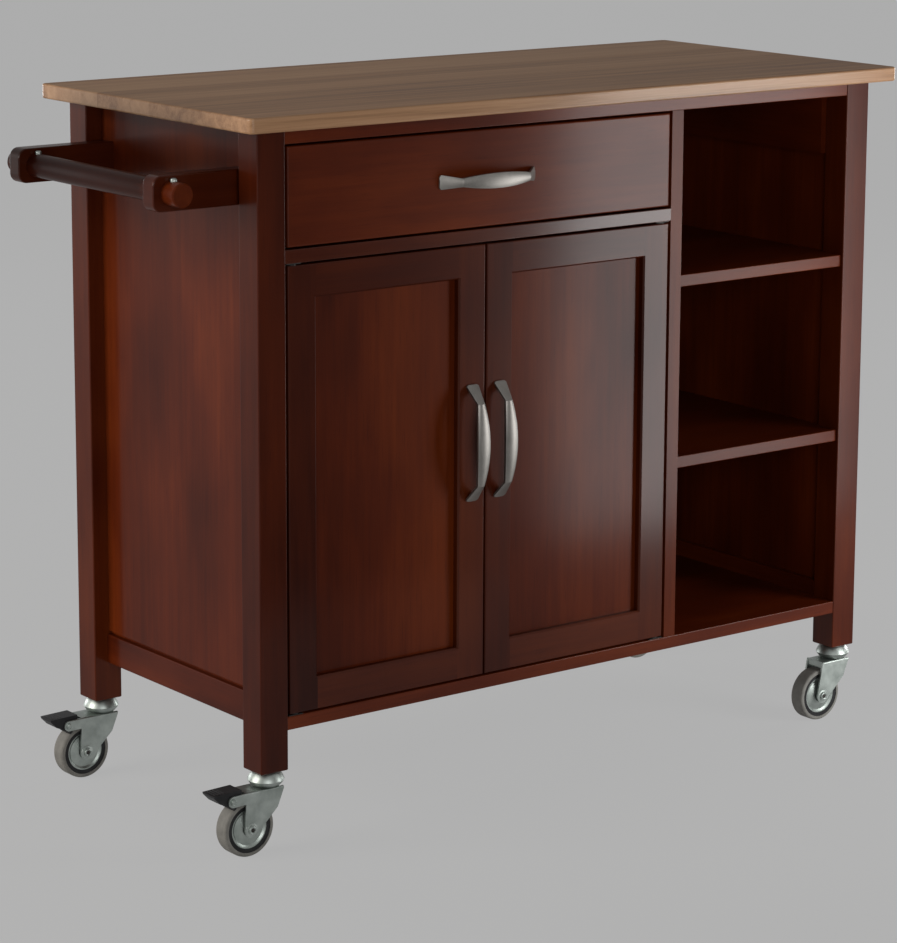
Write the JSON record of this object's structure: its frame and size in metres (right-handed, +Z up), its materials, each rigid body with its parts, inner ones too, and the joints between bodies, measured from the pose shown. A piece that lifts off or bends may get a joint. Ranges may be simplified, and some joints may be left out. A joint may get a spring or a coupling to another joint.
{
  "type": "kitchen cart",
  "caption": "Wheeled kitchen cart with a light wood worktop over a dark wood cabinet with drawer, framed doors, open shelves and an end towel bar, on swivel casters.",
  "frame": {"origin": "centre of the overall box on the floor under the casters", "axes": "+X to the right seen from the front, the doors and drawer facing -Y, +Z up"},
  "size_m": [1.079, 0.456, 0.864],
  "materials": {
    "worktop_wood": "satin lacquered light hardwood",
    "dark_wood": "gloss reddish brown stained lacquer",
    "drawer_wood": "satin brown stained plywood",
    "nickel": "satin nickel plate",
    "zinc": "bright zinc plate",
    "dark_steel": "blackened steel",
    "runner_enamel": "satin grey epoxy coat",
    "black_plastic": "matt black moulded plastic",
    "grey_rubber": "matt grey rubber tread"
  },
  "bodies": {
    "carcass": {"top_board": "worktop_wood", "post_front_left": "dark_wood", "post_front_right": "dark_wood", "post_rear_left": "dark_wood", "post_rear_right": "dark_wood", "side_panel_left": "dark_wood", "side_panel_right": "dark_wood", "side_rails": "dark_wood", "top_cleats": "dark_wood", "front_top_rail": "dark_wood", "mid_rail": "dark_wood", "rear_top_rail": "dark_wood", "rear_bottom_rail": "dark_wood", "back_panel": "dark_wood", "divider": "dark_wood", "bottom_board": "dark_wood", "open_shelves": "dark_wood", "cabinet_shelf": "dark_wood", "shelf_pins": "zinc", "drawer_runners": "runner_enamel", "towel_arms": "dark_wood", "towel_dowel": "dark_wood", "dowel_pins": "zinc", "door_pivot_pins": "dark_steel", "door_catch": "black_plastic", "caster_cups": "zinc"},
    "drawer": {"drawer_front": "dark_wood", "drawer_sides": "drawer_wood", "drawer_back": "drawer_wood", "drawer_bottom": "drawer_wood", "drawer_slides": "runner_enamel", "drawer_pull": "nickel"},
    "left_door": {"left_door_stiles": "dark_wood", "left_door_rails": "dark_wood", "left_door_panel": "dark_wood", "left_door_pull": "nickel", "left_door_fittings": "dark_steel"},
    "right_door": {"right_door_stiles": "dark_wood", "right_door_rails": "dark_wood", "right_door_panel": "dark_wood", "right_door_pull": "nickel", "right_door_fittings": "dark_steel"},
    "caster_front_left": {"fork_front_left": "zinc"},
    "wheel_front_left": {"wheel_core_front_left": "black_plastic", "wheel_discs_front_left": "zinc", "tyre_front_left": "grey_rubber"},
    "caster_front_right": {"fork_front_right": "zinc"},
    "wheel_front_right": {"wheel_core_front_right": "black_plastic", "wheel_discs_front_right": "zinc", "tyre_front_right": "grey_rubber"},
    "caster_rear_left": {"fork_rear_left": "zinc"},
    "wheel_rear_left": {"wheel_core_rear_left": "black_plastic", "wheel_discs_rear_left": "zinc", "tyre_rear_left": "grey_rubber"},
    "caster_rear_right": {"fork_rear_right": "zinc"},
    "wheel_rear_right": {"wheel_core_rear_right": "black_plastic", "wheel_discs_rear_right": "zinc", "tyre_rear_right": "grey_rubber"},
    "pedal_front_left": {"brake_pedal_front_left": "black_plastic"},
    "pedal_rear_left": {"brake_pedal_rear_left": "black_plastic"}
  },
  "joints": [
    {"name": "drawer_slide", "type": "slide", "parent": "carcass", "child": "drawer", "axis": [0, -1, 0], "range_m": [0, 0.25]},
    {"name": "left_door_hinge", "type": "hinge", "parent": "carcass", "child": "left_door", "pos_m": [-0.38, -0.194, 0.427], "axis": [0, 0, -1], "range_deg": [0, 105]},
    {"name": "right_door_hinge", "type": "hinge", "parent": "carcass", "child": "right_door", "pos_m": [0.17, -0.194, 0.427], "axis": [0, 0, 1], "range_deg": [0, 105]},
    {"name": "swivel_front_left", "type": "hinge", "parent": "carcass", "child": "caster_front_left", "pos_m": [-0.4115, -0.183, 0.078], "axis": [0, 0, 1], "continuous": true},
    {"name": "wheel_spin_front_left", "type": "hinge", "parent": "caster_front_left", "child": "wheel_front_left", "pos_m": [-0.4415, -0.183, 0.034], "axis": [0, 1, 0], "continuous": true},
    {"name": "brake_front_left", "type": "hinge", "parent": "caster_front_left", "child": "pedal_front_left", "pos_m": [-0.4665, -0.183, 0.07202], "axis": [0, 1, 0], "range_deg": [0, 12]},
    {"name": "swivel_front_right", "type": "hinge", "parent": "carcass", "child": "caster_front_right", "pos_m": [0.4955, -0.183, 0.078], "axis": [0, 0, 1], "continuous": true},
    {"name": "wheel_spin_front_right", "type": "hinge", "parent": "caster_front_right", "child": "wheel_front_right", "pos_m": [0.4655, -0.183, 0.034], "axis": [0, 1, 0], "continuous": true},
    {"name": "swivel_rear_left", "type": "hinge", "parent": "carcass", "child": "caster_rear_left", "pos_m": [-0.4115, 0.184, 0.078], "axis": [0, 0, 1], "continuous": true},
    {"name": "wheel_spin_rear_left", "type": "hinge", "parent": "caster_rear_left", "child": "wheel_rear_left", "pos_m": [-0.4415, 0.184, 0.034], "axis": [0, 1, 0], "continuous": true},
    {"name": "brake_rear_left", "type": "hinge", "parent": "caster_rear_left", "child": "pedal_rear_left", "pos_m": [-0.4665, 0.184, 0.07202], "axis": [0, 1, 0], "range_deg": [0, 12]},
    {"name": "swivel_rear_right", "type": "hinge", "parent": "carcass", "child": "caster_rear_right", "pos_m": [0.4955, 0.184, 0.078], "axis": [0, 0, 1], "continuous": true},
    {"name": "wheel_spin_rear_right", "type": "hinge", "parent": "caster_rear_right", "child": "wheel_rear_right", "pos_m": [0.4655, 0.184, 0.034], "axis": [0, 1, 0], "continuous": true}
  ]
}
